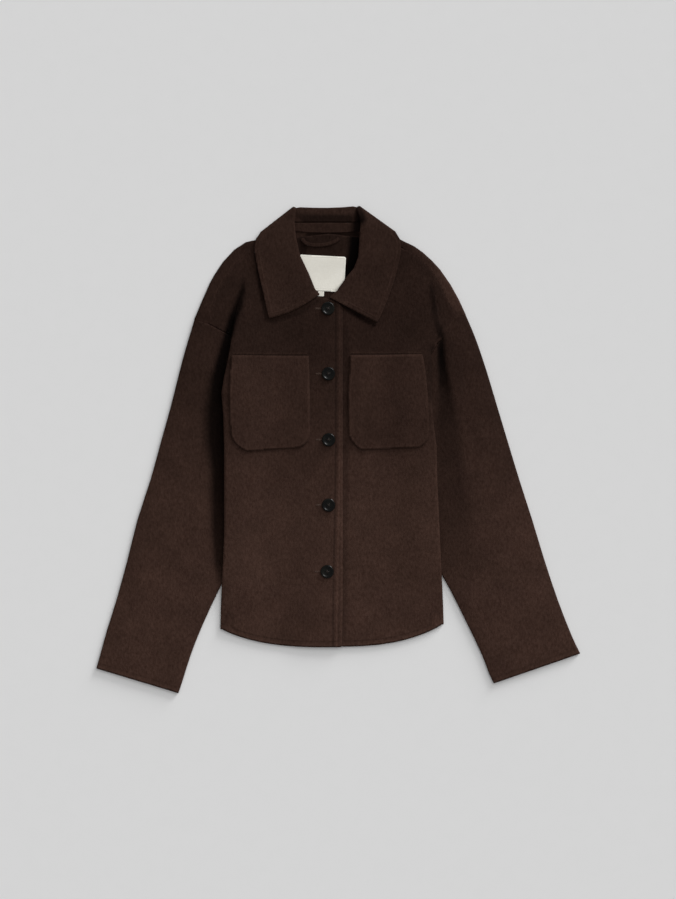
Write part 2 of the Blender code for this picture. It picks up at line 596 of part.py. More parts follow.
def button(name, place, base):
    """A lathed button with a sunk face, four holes and the thread under it."""
    bm = bmesh.new()
    count = 22
    rings = []
    for radius, z in BUTTON_PROFILE[1:-1]:
        rings.append([
            bm.verts.new(((place[0] + radius * math.cos(2 * math.pi * k / count)) * MM,
                          (place[1] + radius * math.sin(2 * math.pi * k / count)) * MM,
                          (base + 1.5 + z) * MM))
            for k in range(count)
        ])
    for near, far in zip(rings, rings[1:]):
        for k in range(count):
            bm.faces.new([near[k], near[(k + 1) % count], far[(k + 1) % count], far[k]])
    bm.faces.new(rings[0][::-1])
    bm.faces.new(rings[-1])
    made = add_object(name, bm, "button")
    cutters = []
    for dx, dy in ((-1.7, -1.7), (1.7, -1.7), (1.7, 1.7), (-1.7, 1.7)):
        cutters.append((place[0] + dx, place[1] + dy, 0.85))
    for k, (x, y, radius) in enumerate(cutters):
        hole = bmesh.new()
        bmesh.ops.create_cone(hole, cap_ends=True, segments=7, radius1=radius * MM, radius2=radius * MM, depth=9 * MM)
        bmesh.ops.translate(hole, verts=hole.verts, vec=Vector((x, y, base + 3.2)) * MM)
        apply_boolean(made, hole, "DIFFERENCE")
    thread = bmesh.new()
    bmesh.ops.create_cone(thread, cap_ends=True, segments=12, radius1=2.2 * MM, radius2=2.2 * MM, depth=2.0 * MM)
    bmesh.ops.translate(thread, verts=thread.verts, vec=Vector((place[0], place[1], base + 1.3)) * MM)
    apply_boolean(made, thread, "UNION")
    return made


def apply_boolean(target, bm, operation):
    helper = add_object("helper", bm, "button")
    modifier = target.modifiers.new("cut", "BOOLEAN")
    modifier.operation = operation
    modifier.solver = "EXACT"
    modifier.object = helper
    bpy.context.view_layer.update()
    graph = bpy.context.evaluated_depsgraph_get()
    result = bpy.data.meshes.new_from_object(target.evaluated_get(graph))
    target.modifiers.clear()
    target.data = result
    bpy.data.objects.remove(helper)


def strip_along(line, width, height, thick):
    """Rows across a narrow strip that follows a line lying on the cloth."""
    points = smooth_rows(line, 2)
    rows = []
    for k, (x, y) in enumerate(points):
        ahead, behind = points[min(k + 1, len(points) - 1)], points[max(k - 1, 0)]
        across = Vector((behind[1] - ahead[1], ahead[0] - behind[0])).normalized() * width / 2
        row = []
        for side in (-1, 0, 1):
            px, py = x + side * across.x, y + side * across.y
            row.append((px, py, height(px, py, 2.0) + 0.4 + thick / 2))
        rows.append(row)
    return rows


def flat_patch(corner, size, turn, height, thick, counts):
    a = math.radians(turn)
    along, down = (math.cos(a), math.sin(a)), (math.sin(a), -math.cos(a))
    rows = []
    for j in range(counts[1] + 1):
        row = []
        for i in range(counts[0] + 1):
            u, v = size[0] * i / counts[0], size[1] * j / counts[1]
            x, y = corner[0] + along[0] * u + down[0] * v, corner[1] + along[1] * u + down[1] * v
            row.append((x, y, height(x, y, 2.0) + 0.35 + thick / 2))
        rows.append(row)
    return rows


def centre_on_origin():
    """Everything moved in its plan so that the middle of the whole stands on the origin."""
    meshes = [item.data for item in bpy.data.objects]
    places = [v.co for mesh in meshes for v in mesh.vertices]
    shift = Vector([-(min(p[i] for p in places) + max(p[i] for p in places)) / 2 for i in (0, 1)] + [0.0])
    for mesh in meshes:
        for vertex in mesh.vertices:
            vertex.co += shift
    print("moved by", tuple(round(v / MM, 2) for v in shift), "mm")


def build():
    for old in list(bpy.data.objects):
        bpy.data.objects.remove(old)
    wall_from_rows("back", back_rows())
    wall_from_rows("front_right", front_rows(LEFT, -1, True))
    wall_from_rows("front_left", front_rows(RIGHT, 1, False))
    wall_from_rows("sleeve_right", sleeve_rows(SLEEVE_RIGHT, ARMHOLE_LEFT, ARMHOLE_LEFT_UNDER, -1), closed=True)
    wall_from_rows("sleeve_left", sleeve_rows(SLEEVE_LEFT, ARMHOLE_RIGHT, ARMHOLE_RIGHT_UNDER, 1), closed=True)
    stations = collar_stations()
    wall_from_rows("collar_stand", stand_rows(stations))
    under = surface_over(["back", "front_right", "front_left", "collar_stand"])
    wall_from_rows("collar_fall", fall_rows(stations, lambda x, y: under(x, y, 4.0) + 0.8 + HALF))
    fronts = surface_over(["front_right", "front_left"])
    wall_from_rows("pocket_right", pocket_rows(POCKET_RIGHT, fronts), thick=WALL * 0.85)
    wall_from_rows("pocket_left", pocket_rows(POCKET_LEFT, fronts), thick=WALL * 0.85)
    for k, place in enumerate(BUTTON_CENTRES):
        top = max(fronts(place[0] + dx, place[1] + dy) for dx in (-9, 0, 9) for dy in (-9, 0, 9))
        button(f"button_{k + 1}", place, max(top - 0.6, fronts(*place)) + 0.3 - 0.3)
    inside = surface_over(["back"])
    wall_from_rows("hanger_loop", strip_along(LOOP_LINE, LOOP_WIDTH, inside, 1.2), thick=1.2)
    label = flat_patch(LABEL_CORNER, LABEL_SIZE, LABEL_TURN, inside, 1.0, (8, 6))
    wall_from_rows("neck_label", label, "label", thick=1.0)
    tab = flat_patch(TAB_CORNER, TAB_SIZE, LABEL_TURN, inside, 1.0, (2, 2))
    wall_from_rows("size_tab", tab, "tab", thick=1.0)
    centre_on_origin()


build()
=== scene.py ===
import math
import bmesh
import bpy
import numpy as np
from mathutils import Matrix, Vector
from mathutils.bvhtree import BVHTree
from mathutils.kdtree import KDTree


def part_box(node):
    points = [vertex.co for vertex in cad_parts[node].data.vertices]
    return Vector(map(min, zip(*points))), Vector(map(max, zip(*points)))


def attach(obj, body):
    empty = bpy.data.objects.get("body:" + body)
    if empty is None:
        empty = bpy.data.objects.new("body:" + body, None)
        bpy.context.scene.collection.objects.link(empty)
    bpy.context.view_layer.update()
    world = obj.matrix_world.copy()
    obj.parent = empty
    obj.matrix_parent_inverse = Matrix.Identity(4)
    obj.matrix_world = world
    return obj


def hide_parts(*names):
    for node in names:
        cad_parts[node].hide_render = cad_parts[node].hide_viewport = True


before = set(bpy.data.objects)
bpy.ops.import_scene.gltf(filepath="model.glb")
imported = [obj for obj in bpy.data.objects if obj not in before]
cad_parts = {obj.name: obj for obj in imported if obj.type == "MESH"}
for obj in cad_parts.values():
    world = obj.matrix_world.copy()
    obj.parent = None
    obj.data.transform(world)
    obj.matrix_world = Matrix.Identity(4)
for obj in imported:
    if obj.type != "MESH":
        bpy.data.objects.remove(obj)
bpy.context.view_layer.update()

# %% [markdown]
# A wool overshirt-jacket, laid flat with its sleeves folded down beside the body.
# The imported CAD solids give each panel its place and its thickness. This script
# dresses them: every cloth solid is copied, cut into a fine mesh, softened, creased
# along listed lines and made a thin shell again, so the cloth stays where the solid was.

MM = 0.001
PER_MM = 1000.0

CLOTH = 2.0 * MM
PITCH = 3.2 * MM
FINE_PITCH = 2.4 * MM
TRIM_PITCH = 1.2 * MM
ABOVE_ALL = 0.1
DOWN = Vector((0.0, 0.0, -1.0))

# %% [markdown]
# The camera looks straight down from 3 m, as a shop photograph of a laid garment does.
# It is made first, because the framing fixes how large one picture point is: 1.5 mm.

# %% Camera
SENSOR = 36.0
CAMERA_HEIGHT = 3.008
camera_data = bpy.data.cameras.new("overhead")
camera_data.lens = 80.09
camera_data.sensor_width = SENSOR
camera = bpy.data.objects.new("overhead", camera_data)
camera.location = (-0.0004, 0.0001, CAMERA_HEIGHT)
bpy.context.scene.collection.objects.link(camera)
bpy.context.scene.camera = camera
print("frame height at the surface in mm:", round(SENSOR * CAMERA_HEIGHT / MM / camera_data.lens, 1))

# %% [markdown]
# Each finish is a small network of nodes. Shader maths reads best as a sum on paper,
# so a number from the network is wrapped in a class that knows +, - and *, and
# every other node comes from one method: its settings go in first, then its sockets.


# %% A number in a material, with its arithmetic
class Amount:
    def __init__(self, finish, socket):
        self.finish = finish
        self.socket = socket

    def sum_node(self, operation, first, second):
        made = self.finish.node("ShaderNodeMath", {"operation": operation}, {0: first, 1: second})
        return Amount(self.finish, made.outputs[0])

    def __add__(self, other):
        return self.sum_node("ADD", self, other)

    def __radd__(self, other):
        return self.sum_node("ADD", other, self)

    def __sub__(self, other):
        return self.sum_node("SUBTRACT", self, other)

    def __rsub__(self, other):
        return self.sum_node("SUBTRACT", other, self)

    def __mul__(self, other):
        return self.sum_node("MULTIPLY", self, other)

    def __abs__(self):
        return self.sum_node("ABSOLUTE", self, 0.0)


# %% A finish: one material and the few nodes that it is made of
class Finish:
    def __init__(self, name):
        self.material = bpy.data.materials.new(name)
        self.material.use_nodes = True
        self.tree = self.material.node_tree
        self.tree.nodes.clear()
        self.surface = self.node("ShaderNodeBsdfPrincipled")
        self.node("ShaderNodeOutputMaterial", {}, {"Surface": self.surface.outputs[0]})
        self.place = self.node("ShaderNodeTexCoord").outputs["Object"]

    def give(self, socket, value):
        value = value.socket if isinstance(value, Amount) else value
        if isinstance(value, bpy.types.NodeSocket):
            self.tree.links.new(value, socket)
        else:
            socket.default_value = value

    def node(self, kind, settings=None, sockets=None):
        made = self.tree.nodes.new(kind)
        for name, value in (settings or {}).items():
            setattr(made, name, value)
        for name, value in (sockets or {}).items():
            self.give(made.inputs[name], value)
        return made

    def wear(self, **sockets):
        for name, value in sockets.items():
            self.give(self.surface.inputs[name.replace("_", " ")], value)

    def noise(self, scale, detail=2.0, stretch=(1.0, 1.0, 1.0), turn=0.0):
        laid = self.node("ShaderNodeMapping", {},
                         {"Vector": self.place, "Scale": stretch, "Rotation": (0.0, 0.0, turn)})
        made = self.node("ShaderNodeTexNoise", {},
                         {"Vector": laid.outputs[0], "Scale": scale, "Detail": detail})
        return Amount(self, made.outputs[0])

    def fade(self, amount, start, end, low=0.0, high=1.0):
        made = self.node("ShaderNodeMapRange", {"interpolation_type": "SMOOTHSTEP"},
                         {0: amount, 1: start, 2: end, 3: low, 4: high})
        return Amount(self, made.outputs[0])

    def stored(self, name):
        made = self.node("ShaderNodeAttribute", {"attribute_name": name})
        return Amount(self, made.outputs["Fac"])

    def across(self, axis):
        made = self.node("ShaderNodeSeparateXYZ", {}, {0: self.place})
        return Amount(self, made.outputs[axis])

    def blend(self, share, low, high):
        made = self.node("ShaderNodeMix", {"data_type": "RGBA"}, {0: share, 6: low, 7: high})
        return made.outputs[2]

    def times(self, colour, light):
        share = self.node("ShaderNodeCombineXYZ", {}, {0: light, 1: light, 2: light})
        made = self.node("ShaderNodeMix", {"data_type": "RGBA", "blend_type": "MULTIPLY"},
                         {0: 1.0, 6: colour, 7: share.outputs[0]})
        return made.outputs[2]

    def relief(self, height, step):
        made = self.node("ShaderNodeBump", {}, {"Strength": 1.0, "Distance": step, "Height": height})
        return made.outputs[0]


# %% [markdown]
# Picture colours are written as a screen shows them. A shader adds light, so it needs
# the same colour as an amount of light, which this turns it into.


# %% Colours
def paint(red, green, blue, share=1.0):
    light = [((value / 255 + 0.055) / 1.055) ** 2.4 for value in (red, green, blue)]
    return (*[value * share for value in light], 1.0)


# %% [markdown]
# The wool is a thick, felted double cloth: a short nap lies over a weave that hardly
# shows. Noises give it, from the finest to the widest: single fibres, the threads of
# the weave, the nap, small tufts, matted spots, and slow changes of shade from handling.
# The body and the sleeves are darker higher up, where less of the light reaches them.
# A stored distance from the edge draws the pressed line beside it, and any other line
# is a mark: how far away it is in mm, its width, its rise and its shade, which is
# painted: above zero a painted highlight on a ridge, below zero painted shade in a groove.


# %% The wool
DARK_WOOL = (46, 30.5, 24.5)
PALE_WOOL = (68, 50, 43)
FUZZ = (170, 120, 100)


# A scale on both wool colours below one paints shade: the collar, the pockets and the loop are darker
# copies of the same wool.
def wool(name, depth, lines=(), low=-0.16, high=0.2, painted_light=1.0, marks=None):
    finish = Finish(name)
    fibre = finish.noise(1400.0, 2.0)
    tuft = finish.noise(330.0, 3.0, (1.0, 0.55, 1.0), 0.5)
    weft = finish.noise(620.0, 1.0, (0.22, 1.0, 1.0))
    warp = finish.noise(620.0, 1.0, (1.0, 0.22, 1.0))
    nap = finish.noise(480.0, 2.0, (1.0, 0.45, 1.0), 0.15)
    matted = finish.noise(150.0, 2.0)
    cloud = finish.noise(30.0, 2.0)
    slow = finish.noise(9.0, 2.0)
    up = finish.fade(finish.across(1), low, high)
    light = (1.0 - up * depth) * (1.0 + (slow - 0.5) * 0.4) * (1.0 - finish.stored("shade"))
    light = light * (0.85 + matted * 0.3) * (0.75 + cloud * 0.5)
    grain = fibre * 0.28 + tuft * 0.3 + nap * 0.26 + (weft + warp) * 0.08
    height = fibre * 0.22 + tuft * 0.16 + nap * 0.2 + (weft + warp) * 0.04
    drawn = [(abs(finish.stored(stored) * PER_MM - middle), *line) for stored, middle, *line in lines]
    for apart, width, rise, shade in drawn + (marks(finish) if marks else []):
        line = finish.fade(apart, 0.0, width, 1.0, 0.0)
        height = height + line * rise
        light = light * (1.0 + line * shade)
    thread = finish.blend(finish.fade(grain, 0.3, 0.7), paint(*DARK_WOOL, painted_light), paint(*PALE_WOOL, painted_light))
    finish.wear(Base_Color=finish.times(thread, light), Roughness=0.95, Normal=finish.relief(height, MM))
    finish.wear(Sheen_Weight=0.05, Sheen_Roughness=0.5, Sheen_Tint=paint(*FUZZ), Specular_IOR_Level=0.06)
    return finish.material


# %% [markdown]
# A panel's solid is a closed wall. The scene wants only its outer skin, because that
# can be cut finely, softened and creased as one sheet, and then thickened again. The
# skin is found by walking from the highest face over every edge that isn't a rim.
# Points nearer than the step of a flattened fold, 0.6 mm, become one.


# %% The outer skin of a solid
FOLD_STEP = 0.6 * MM


def outer_skin(node, corner=70.0):
    bm = bmesh.new()
    bm.from_mesh(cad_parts[node].data)
    bmesh.ops.remove_doubles(bm, verts=bm.verts, dist=0.01 * MM)
    bmesh.ops.recalc_face_normals(bm, faces=bm.faces)
    facing_up = [face for face in bm.faces if face.normal.z > 0.5]
    first = max(facing_up, key=lambda face: face.calc_center_median().z)
    found = {first}
    waiting = [first]
    while waiting:
        for edge in waiting.pop().edges:
            if edge.calc_face_angle(3.2) < math.radians(corner):
                fresh = [face for face in edge.link_faces if face not in found]
                found.update(fresh)
                waiting.extend(fresh)
    bmesh.ops.delete(bm, geom=[face for face in bm.faces if face not in found], context="FACES")
    bmesh.ops.remove_doubles(bm, verts=bm.verts, dist=FOLD_STEP)
    return bm


# %% Fine cuts on a grid, with the solid's own edges dissolved between them
# The first cut is this share of a pitch from the piece's edge, so that no cut runs along it.
FIRST_CUT = 0.63


def cut_between(bm, faces, axis, lines):
    if not lines or not faces:
        return
    middle = lines[len(lines) // 2]
    direction = Vector((1.0, 0.0, 0.0)) if axis == 0 else Vector((0.0, 1.0, 0.0))
    edges = {edge for face in faces for edge in face.edges}
    verts = {vert for edge in edges for vert in edge.verts}
    cut = bmesh.ops.bisect_plane(bm, geom=[*verts, *edges, *faces], dist=0.02 * MM,
                                 plane_co=direction * middle, plane_no=direction)
    kept = [part for part in cut["geom"] if isinstance(part, bmesh.types.BMFace)]
    low = [face for face in kept if face.calc_center_median()[axis] < middle]
    high = [face for face in kept if face.calc_center_median()[axis] >= middle]
    cut_between(bm, low, axis, lines[:len(lines) // 2])
    cut_between(bm, high, axis, lines[len(lines) // 2 + 1:])


def cut_fine(bm, pitch):
    starts = []
    for axis in (0, 1):
        start = min(vert.co[axis] for vert in bm.verts)
        end = max(vert.co[axis] for vert in bm.verts)
        lines = [start + (step + FIRST_CUT) * pitch for step in range(int((end - start) / pitch))]
        cut_between(bm, list(bm.faces), axis, lines)
        starts.append(start)
    bm.normal_update()
    old = []
    for edge in bm.edges:
        if edge.is_boundary or min(face.normal.z for face in edge.link_faces) < 0.85:
            continue
        on_line = False
        for axis, start in enumerate(starts):
            ends = [(vert.co[axis] - start) / pitch - FIRST_CUT for vert in edge.verts]
            if abs(ends[0] - ends[1]) < 0.004 and abs(ends[0] - round(ends[0])) < 0.02:
                on_line = True
        if not on_line:
            old.append(edge)
    bmesh.ops.dissolve_edges(bm, edges=old, use_verts=True, use_face_split=False)
    bmesh.ops.dissolve_degenerate(bm, dist=0.25 * MM, edges=list(bm.edges))


# %% [markdown]
# The solid is faceted. Its heights are read on a fine grid, and every height moves
# to the middle of its two neighbours on each side where that is a small step. A large
# step, such as a fold, stays sharp. The skin then takes the difference, so that its
# outline in plan never moves.


# %% Heights softened
def soften(bm, tree, step=2.0 * MM, rounds=26, limit=1.1 * MM):
    low = Vector(min(vert.co[axis] for vert in bm.verts) for axis in range(3))
    high = Vector(max(vert.co[axis] for vert in bm.verts) for axis in range(3))
    wide, deep = (int((high[axis] - low[axis]) / step) + 3 for axis in (0, 1))
    heights = np.full((wide, deep), np.nan)
    for i in range(wide):
        for j in range(deep):
            start = Vector((low.x + (i - 1) * step, low.y + (j - 1) * step, ABOVE_ALL))
            place, normal, _, _ = tree.ray_cast(start, DOWN)
            if place and normal.z > 0.5:
                heights[i, j] = place.z
    smooth = heights.copy()
    for _ in range(rounds):
        moved = np.zeros_like(smooth)
        for side in ((1, 0), (0, 1), (1, 1), (1, -1)):
            before = np.roll(smooth, side, (0, 1))
            after = np.roll(smooth, (-side[0], -side[1]), (0, 1))
            bend = before + after - 2 * smooth
            moved += np.where(np.abs(bend) < limit, bend, 0.0)
        smooth = smooth + moved / 10.0
    change = np.nan_to_num(smooth - heights)
    bm.normal_update()
    for vert in bm.verts:
        if vert.normal.z > 0.5:
            across = (vert.co.x - low.x) / step + 1
            along = (vert.co.y - low.y) / step + 1
            i, j = int(across), int(along)
            u, v = across - i, along - j
            vert.co.z += (change[i, j] * (1 - u) * (1 - v) + change[i + 1, j] * u * (1 - v)
                          + change[i, j + 1] * (1 - u) * v + change[i + 1, j + 1] * u * v)


# %% [markdown]
# Creases in this heavy cloth are few and soft. Each is a line with a width and a
# height, below zero for a trough, and it fades out at both ends. They are listed,
# one row each, and moved a little up or down where the light on the cloth asks.


# %% Creases laid along listed lines
def crease(bm, rows):
    for x0, y0, x1, y1, width, rise in rows:
        start = Vector((x0, y0)) * MM
        along = Vector((x1, y1)) * MM - start
        reach = along.length
        along.normalize()
        for vert in bm.verts:
            if vert.normal.z < 0.3:
                continue
            away = vert.co.xy - start
            share = away.dot(along) / reach
            side = abs(away.cross(along)) / (width * MM)
            if 0.0 < share < 1.0 and side < 1.0:
                ends = math.sin(math.pi * share) ** 0.7
                vert.co.z += rise * MM * ends * math.cos(side * math.pi / 2) ** 2


# %% Painted shade laid along listed lines, and painted highlights where the amount is below zero
def lay_shade(bm, rows):
    layer = bm.verts.layers.float.new("shade")
    for x0, y0, width0, amount0, x1, y1, width1, amount1 in rows:
        start = Vector((x0, y0)) * MM
        along = Vector((x1, y1)) * MM - start
        reach = along.length
        along.normalize()
        for vert in bm.verts:
            away = vert.co.xy - start
            share = min(max(away.dot(along) / reach, 0.0), 1.0)
            width = (width0 + (width1 - width0) * share) * MM
            side = (away - along * share * reach).length / width
            if side < 1.0:
                full = min(1.0, 1.5 * math.cos(side * math.pi / 2) ** 2)
                amount = (amount0 + (amount1 - amount0) * share) * full
                if abs(amount) > abs(vert[layer]):
                    vert[layer] = amount


def chain(*stops):
    return [(*first, *last) for first, last in zip(stops, stops[1:])]


# %% The distance from an edge, kept on the mesh for the finishes
def store_distance(bm, name, wanted):
    points = []
    for edge in bm.edges:
        if edge.is_boundary and wanted((edge.verts[0].co + edge.verts[1].co) / 2):
            first, last = (vert.co.copy() for vert in edge.verts)
            steps = max(1, math.ceil((last - first).length / MM))
            points.extend(first.lerp(last, step / steps) for step in range(steps + 1))
    tree = KDTree(len(points))
    for index, point in enumerate(points):
        tree.insert(point, index)
    tree.balance()
    layer = bm.verts.layers.float.new(name)
    for vert in bm.verts:
        vert[layer] = tree.find(vert.co)[2] if points else 1.0


# %% The allowance of a seam, turned under the panel that it joins
# An edge above this height turns down under its neighbour. A lower one rises a little to meet it.
FACE_HEIGHT = 3.4 * MM


def seam_allowance(bm, wanted, overlap=0.5 * MM, reach=2.4 * MM, drop=1.4 * MM):
    for out, down in ((overlap, 0.0), (reach, drop)):
        border = [edge for edge in bm.edges if edge.is_boundary]
        rim = [edge for edge in border if all(wanted(vert.co) for vert in edge.verts)]
        outward = {}
        for vert in {vert for edge in rim for vert in edge.verts}:
            way = Vector((0.0, 0.0))
            for edge in vert.link_edges:
                if edge.is_boundary:
                    side = edge.other_vert(vert).co.xy - vert.co.xy
                    face = edge.link_faces[0].calc_center_median().xy - vert.co.xy
                    across = Vector((side.y, -side.x))
                    way -= across * math.copysign(1.0, across.dot(face))
            outward[vert] = way.normalized() * out if way.length > 0.0 else way
        for _ in range(6):
            for edge in rim:
                first, last = edge.verts
                mean = outward[first] + outward[last]
                if mean.length > 0.0:
                    outward[first] = (outward[first] + mean.normalized() * out).normalized() * out
                    outward[last] = (outward[last] + mean.normalized() * out).normalized() * out
        for fresh in bmesh.ops.extrude_edge_only(bm, edges=rim)["geom"]:
            if isinstance(fresh, bmesh.types.BMVert):
                old = next((edge.other_vert(fresh) for edge in fresh.link_edges
                            if edge.other_vert(fresh) in outward), None)
                if old:
                    fresh.co.xy += outward[old]
                    fresh.co.z += -down if fresh.co.z > FACE_HEIGHT else 0.4 * down


# %% From a skin to a finished piece
def finish_piece(name, bm, material, thickness):
    for face in bm.faces:
        face.smooth = True
    mesh = bpy.data.meshes.new(name)
    bm.to_mesh(mesh)
    bm.free()
    mesh.materials.append(material)
    piece = bpy.data.objects.new(name, mesh)
    bpy.context.scene.collection.objects.link(piece)
    wall = piece.modifiers.new("wall", "SOLIDIFY")
    wall.thickness = thickness
    wall.offset = -1.0
    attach(piece, "root")
    print(name, "triangles on both faces", 2 * sum(len(polygon.vertices) - 2 for polygon in mesh.polygons))
    return piece


def panel(node, material, creases=(), shade=(), stored=(),
          pitch=PITCH, thickness=CLOTH, allowance=None):
    bm = outer_skin(node)
    tree = BVHTree.FromBMesh(bm)
    cut_fine(bm, pitch)
    soften(bm, tree)
    bm.normal_update()
    crease(bm, creases)
    lay_shade(bm, shade)
    for name, wanted in stored:
        store_distance(bm, name, wanted)
    if allowance:
        seam_allowance(bm, allowance)
    skin = sum(face.calc_area() for face in bm.faces)
    piece = finish_piece(node + "_cloth", bm, material, thickness)
    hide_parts(node)
    print("   skin in square metres", round(skin, 4))
    return piece


# %% [markdown]
# The back panel lies on the surface. Only a strip inside the neck shows, and the strips
# at the shoulders that wrap forward. They are softened, and shaded where the collar and
# the fronts shut out the light.

# %% Back
def low_down(point):
    return point.y < -0.25


def high_up(point):
    return point.y >= -0.25


def armhole_seam(point):
    return point.y < 0.21 and high_up(point)


def sleeve_head(point):
    return point.y > 0.08


def right_seams(point):
    return point.x < -0.12 and high_up(point)


def left_seams(point):
    return point.x > 0.1 and high_up(point)


# stored distance, middle in mm, width, rise, shade (painted: above zero lighter on a ridge, below zero
# darker in a groove)
PRESSED_HEM = [
    ("hem", 0.3, 1.8, -0.6, -0.1),
    ("hem", 3.0, 2.4, 0.1, 0.12),
    ("hem", 8.0, 2.4, -0.15, -0.2),
]
# A painted highlight along every seam, where its ridge catches the light.
SEAM_LINE = [("seam", 0.9, 2.2, 0.06, 0.16)]
body_wool = wool("wool_body", 0.565, PRESSED_HEM + SEAM_LINE, painted_light=1.06)
# x, y, half width and amount at each stop of a line
BACK_SHADE = [
    *chain((-70, 318, 40, 0.25), (40, 318, 40, 0.25)),
    *chain((28, 336, 18, 0.93), (25, 292, 18, 0.96), (18, 270, 16, 0.96), (4, 248, 15, 0.92)),
    *chain((-55, 330, 10, 0.6), (-50, 270, 8, 0.5)),
    # Below zero: painted highlights on the shoulder strips, which face the light.
    *chain((120, 300, 16, -0.3), (157, 262, 16, -0.9), (168, 236, 16, -1.1), (180, 214, 14, -0.9),
           (186, 200, 9, -0.2)),
    *chain((-150, 290, 20, -0.15), (-190, 240, 20, -0.25), (-203, 205, 12, -0.1)),
]
panel("back", body_wool, shade=BACK_SHADE, stored=[("hem", low_down), ("seam", high_up)],
      allowance=armhole_seam)

# %% [markdown]
# The two fronts carry the button line. The wearer's right front laps over the left.
# Their free edges and hems are turned in and pressed, which leaves a faint ridge. Its light and the dark
# line beside it are painted, and so is a line of shadow over each pocket's mouth.

# %% Fronts
def front_marks(finish):
    x = finish.across(0) * PER_MM
    y = finish.across(1) * PER_MM
    ridge = x - 1.6 + finish.fade(y, 20.0, -270.0) * 4.0
    right_side = finish.fade(x, 9.4, 10.0) * 20.0
    marks = [
        # Painted highlight on the ridge of the lap's turned edge, and painted shade in a line beside it.
        (abs(ridge) + right_side, 3.0, 0.3, 0.36),
        (abs(ridge + 5.6) + right_side, 2.6, -0.2, -0.34),
    ]
    for middle, half, top in ((-102.5, 57.0, 141.0), (72.0, 55.0, 142.3)):
        beyond = finish.fade(abs(x - middle), half - 2.0, half + 1.0) * 10.0
        # Over each pocket's mouth: a line of painted shadow just above its edge, and a painted highlight
        # above that.
        marks.append((abs(y - top - 0.9) + beyond, 1.5, -0.1, -0.3))
        marks.append((abs(y - top - 3.2) + beyond, 1.8, 0.1, 0.26))
    return marks


# A trough along the lap's free edge, with painted shade in it.
LAP_LINE = [("lap", 0.3, 1.6, -0.4, -0.2)]
front_wool = wool("wool_front", 0.565, PRESSED_HEM + SEAM_LINE + LAP_LINE, painted_light=1.06, marks=front_marks)


def lap_edge(point):
    return 0.0 < point.x < 0.02 and point.y > -0.29


# x and y of the start, x and y of the end, half width, height
FRONT_RIGHT_CREASES = [
    (-120, 40, -60, -150, 34, 0.5),
    (-150, -60, -90, -230, 30, -0.4),
    (-60, -60, -40, -220, 26, 0.35),
]
FRONT_LEFT_CREASES = [
    (60, -40, 100, -220, 30, 0.45),
    (130, 0, 120, -200, 24, -0.4),
]
# Painted shade in the fold at each armhole, where the body's side turns down over the sleeve; the same
# rows shade the front and the sleeve.
CHEST_FOLD_SHADE = [(-142.5, 256, 5, 0.2), (-143.6, 239, 7, 0.75), (-149.5, 217, 10.5, 0.82),
              (-158.6, 194.5, 11, 0.93), (-164.5, 172, 11, 0.93)]
ARM_FOLD_SHADE = [(140.6, 252, 5, 0.2), (140.6, 239, 6, 0.5), (143.6, 217, 6.5, 0.55),
            (146.6, 194.5, 7, 0.42), (154.5, 172, 7.5, 0.7)]
FRONT_RIGHT_SHADE = [
    *chain(*CHEST_FOLD_SHADE),
    *chain((-126.5, 312, 4, 0.45), (-121, 270, 4.6, 0.7), (-115, 232, 4.6, 0.65),
           (-108.5, 197, 4, 0.35)),
    *chain((-100, 192, 5, 0.35), (-60, 204, 4.5, 0.3), (-28, 224, 4, 0.3)),
]
FRONT_LEFT_SHADE = [
    *chain(*ARM_FOLD_SHADE),
    *chain((10.5, 180, 8, 0.22), (10.5, -60, 8, 0.26), (7, -280, 9, 0.15)),
    *chain((3, 218.5, 5, 0.6), (29, 201.5, 6.5, 0.82), (54, 187, 4.5, 0.6)),
    *chain((141, 150, 9, 0.3), (141, 74, 9, 0.25)),
]
front_stored = [("hem", low_down), ("seam", high_up), ("lap", lap_edge)]
front_right = panel("front_right", front_wool, FRONT_RIGHT_CREASES, FRONT_RIGHT_SHADE, front_stored,
                    allowance=right_seams)
panel("front_left", front_wool, FRONT_LEFT_CREASES, FRONT_LEFT_SHADE, front_stored,
      allowance=left_seams)

# %% [markdown]
# The sleeves are tubes pressed flat. A seam joins each to the body at the dropped
# shoulder, and its allowance is turned in under the body. The cloth sinks into a
# valley beside the body, where the sleeve passes under it, and painted shade darkens it there.

# %% Sleeves
def cuff_end(point):
    return point.y < -0.24


# The shade column is painted: lighter on the ridge, darker in the grooves.
PRESSED_CUFF = [
    ("hem", 0.3, 1.8, -0.5, -0.1),
    ("hem", 3.0, 2.4, 0.1, 0.1),
    ("hem", 8.0, 2.4, -0.1, -0.12),
]
sleeve_wool = wool("wool_sleeve", 0.47, PRESSED_CUFF + SEAM_LINE, low=-0.2, high=0.2)
SLEEVE_RIGHT_CREASES = [
    (-172, 150, -186, -190, 26, -2.2),
    (-260, -40, -300, -260, 26, 0.5),
]
SLEEVE_RIGHT_SHADE = [
    *chain(*CHEST_FOLD_SHADE),
    *chain((-163.9, 172, 12, 0.92), (-169.9, 149, 14, 0.92), (-175.9, 127, 15, 0.92),
           (-175.9, 104, 27, 0.9), (-175.9, 59, 40, 0.88), (-175.9, 14, 39, 0.87),
           (-175.9, -31, 26, 0.84), (-175.9, -76, 25, 0.8),
           (-175.9, -121, 24, 0.76), (-175.9, -166, 18, 0.7), (-176.5, -192, 9, 0.3)),
]
SLEEVE_LEFT_CREASES = [
    (156, 180, 160, 60, 13, -2.0),
    (215, -40, 260, -260, 26, 0.5),
]
